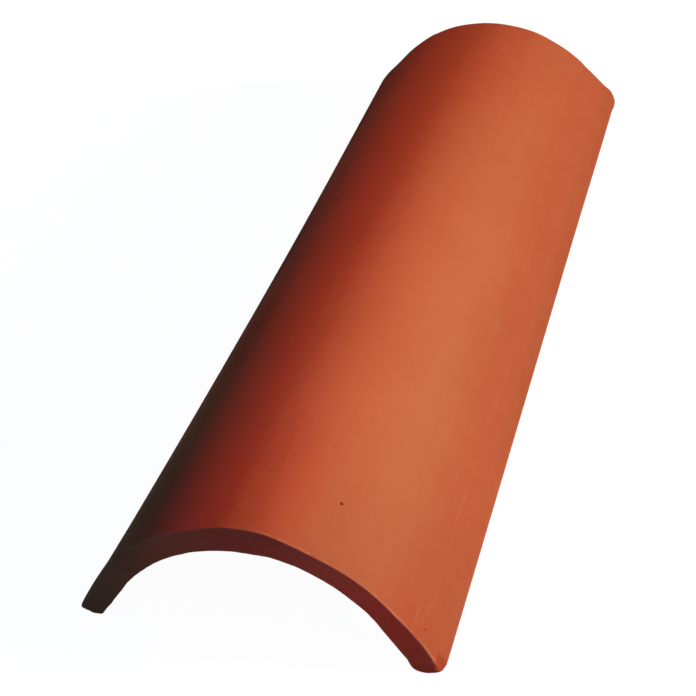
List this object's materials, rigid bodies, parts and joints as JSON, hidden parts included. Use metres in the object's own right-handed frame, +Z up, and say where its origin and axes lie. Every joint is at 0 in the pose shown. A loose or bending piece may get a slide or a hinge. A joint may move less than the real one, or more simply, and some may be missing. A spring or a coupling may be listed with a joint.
{
  "type": "clay roof tile",
  "caption": "Tapered barrel roof tile of fired clay: an arched slab, wide at its lower end and narrow at its upper end, open underneath, with rounded corners and edges.",
  "frame": {"origin": "under the middle of the tile, on the level plane that its two long edges rest on", "axes": "+Y along the tile from its wide end to its narrow end, +Z up through the crown, X across"},
  "size_m": [0.1548, 0.45, 0.0635],
  "materials": {
    "fired_clay": "matte"
  },
  "bodies": {
    "root": {"barrel_tile": "fired_clay"}
  },
  "joints": []
}
